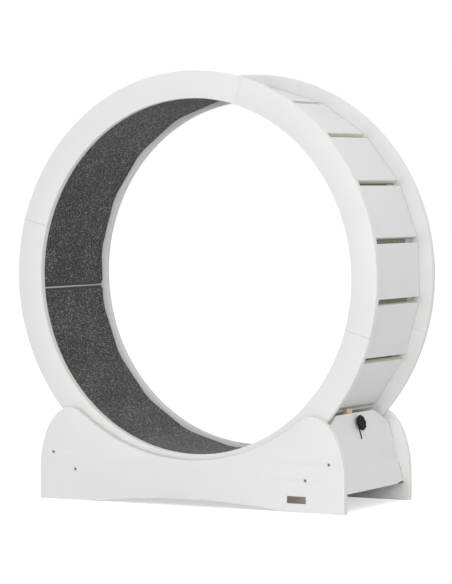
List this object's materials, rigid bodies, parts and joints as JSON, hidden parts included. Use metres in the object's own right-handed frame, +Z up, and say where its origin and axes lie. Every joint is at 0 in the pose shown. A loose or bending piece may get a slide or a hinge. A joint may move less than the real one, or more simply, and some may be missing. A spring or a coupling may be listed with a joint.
{
  "type": "cat exercise wheel",
  "caption": "Slatted wooden running wheel for a cat, lined with carpet, turning on flanged rollers between two shaped side panels, with a clamped wooden brake block.",
  "frame": {"origin": "on the floor under the wheel's centre, midway between the side panels", "axes": "+Z up, +Y along the wheel's axis from the front side panel to the back one, +X along the base towards the end board with the brake"},
  "size_m": [1.0596, 0.396, 1.1198],
  "materials": {
    "white_board": "white laminated board, satin",
    "carpet": "dark grey heather carpet, matte",
    "bare_wood": "pale bare wood",
    "tyre_rubber": "dark grey rubber, matte",
    "white_nylon": "white nylon, satin",
    "zinc_steel": "zinc-plated steel, satin",
    "black_plastic": "black moulded plastic, satin"
  },
  "bodies": {
    "base": {"front_side_panel": "white_board", "back_side_panel": "white_board", "right_end_board": "white_board", "left_end_board": "white_board", "right_roller_rail": "white_board", "left_roller_rail": "white_board", "right_front_fork": "zinc_steel", "right_back_fork": "zinc_steel", "left_front_fork": "zinc_steel", "left_back_fork": "zinc_steel", "front_left_board_screw": "zinc_steel", "front_right_board_screw": "zinc_steel", "front_left_rail_screw": "zinc_steel", "front_right_rail_screw": "zinc_steel", "back_left_board_screw": "zinc_steel", "back_right_board_screw": "zinc_steel", "back_left_rail_screw": "zinc_steel", "back_right_rail_screw": "zinc_steel"},
    "wheel": {"front_rim_1": "white_board", "front_rim_2": "white_board", "front_rim_3": "white_board", "front_rim_4": "white_board", "back_rim_1": "white_board", "back_rim_2": "white_board", "back_rim_3": "white_board", "back_rim_4": "white_board", "slat_01": "white_board", "slat_02": "white_board", "slat_03": "white_board", "slat_04": "white_board", "slat_05": "white_board", "slat_06": "white_board", "slat_07": "white_board", "slat_08": "white_board", "slat_09": "white_board", "slat_10": "white_board", "slat_11": "white_board", "slat_12": "white_board", "slat_13": "white_board", "slat_14": "white_board", "slat_15": "white_board", "slat_16": "white_board", "slat_17": "white_board", "slat_18": "white_board", "slat_19": "white_board", "slat_20": "white_board", "lower_carpet_mat": "carpet", "upper_carpet_mat": "carpet"},
    "right_front_roller": {"right_front_hub": "white_nylon", "right_front_tyre": "tyre_rubber"},
    "right_back_roller": {"right_back_hub": "white_nylon", "right_back_tyre": "tyre_rubber"},
    "left_front_roller": {"left_front_hub": "white_nylon", "left_front_tyre": "tyre_rubber"},
    "left_back_roller": {"left_back_hub": "white_nylon", "left_back_tyre": "tyre_rubber"},
    "brake": {"brake_block": "bare_wood", "brake_bolt": "zinc_steel", "brake_washer": "zinc_steel"},
    "knob": {"brake_knob": "black_plastic"}
  },
  "joints": [
    {"name": "wheel_spin", "type": "hinge", "parent": "base", "child": "wheel", "pos_m": [0, 0, 0.59], "axis": [0, 1, 0], "continuous": true},
    {"name": "right_front_roller_spin", "type": "hinge", "parent": "base", "child": "right_front_roller", "pos_m": [0.30891, -0.164, 0.12855], "axis": [0, 1, 0], "continuous": true},
    {"name": "right_back_roller_spin", "type": "hinge", "parent": "base", "child": "right_back_roller", "pos_m": [0.30891, 0.164, 0.12855], "axis": [0, 1, 0], "continuous": true},
    {"name": "left_front_roller_spin", "type": "hinge", "parent": "base", "child": "left_front_roller", "pos_m": [-0.30891, -0.164, 0.12855], "axis": [0, 1, 0], "continuous": true},
    {"name": "left_back_roller_spin", "type": "hinge", "parent": "base", "child": "left_back_roller", "pos_m": [-0.30891, 0.164, 0.12855], "axis": [0, 1, 0], "continuous": true},
    {"name": "brake_slide", "type": "slide", "parent": "base", "child": "brake", "axis": [-0.2588, 0, 0.9659], "range_m": [-0.038, 0]},
    {"name": "knob_turn", "type": "hinge", "parent": "brake", "child": "knob", "pos_m": [0.39148, 0, 0.21254], "axis": [0.9659, 0, 0.2588], "range_deg": [0, 360]}
  ],
  "couplings": [
    {"joint": "right_front_roller_spin", "follows": "wheel_spin", "ratio": -21.2},
    {"joint": "right_back_roller_spin", "follows": "wheel_spin", "ratio": -21.2},
    {"joint": "left_front_roller_spin", "follows": "wheel_spin", "ratio": -21.2},
    {"joint": "left_back_roller_spin", "follows": "wheel_spin", "ratio": -21.2}
  ]
}
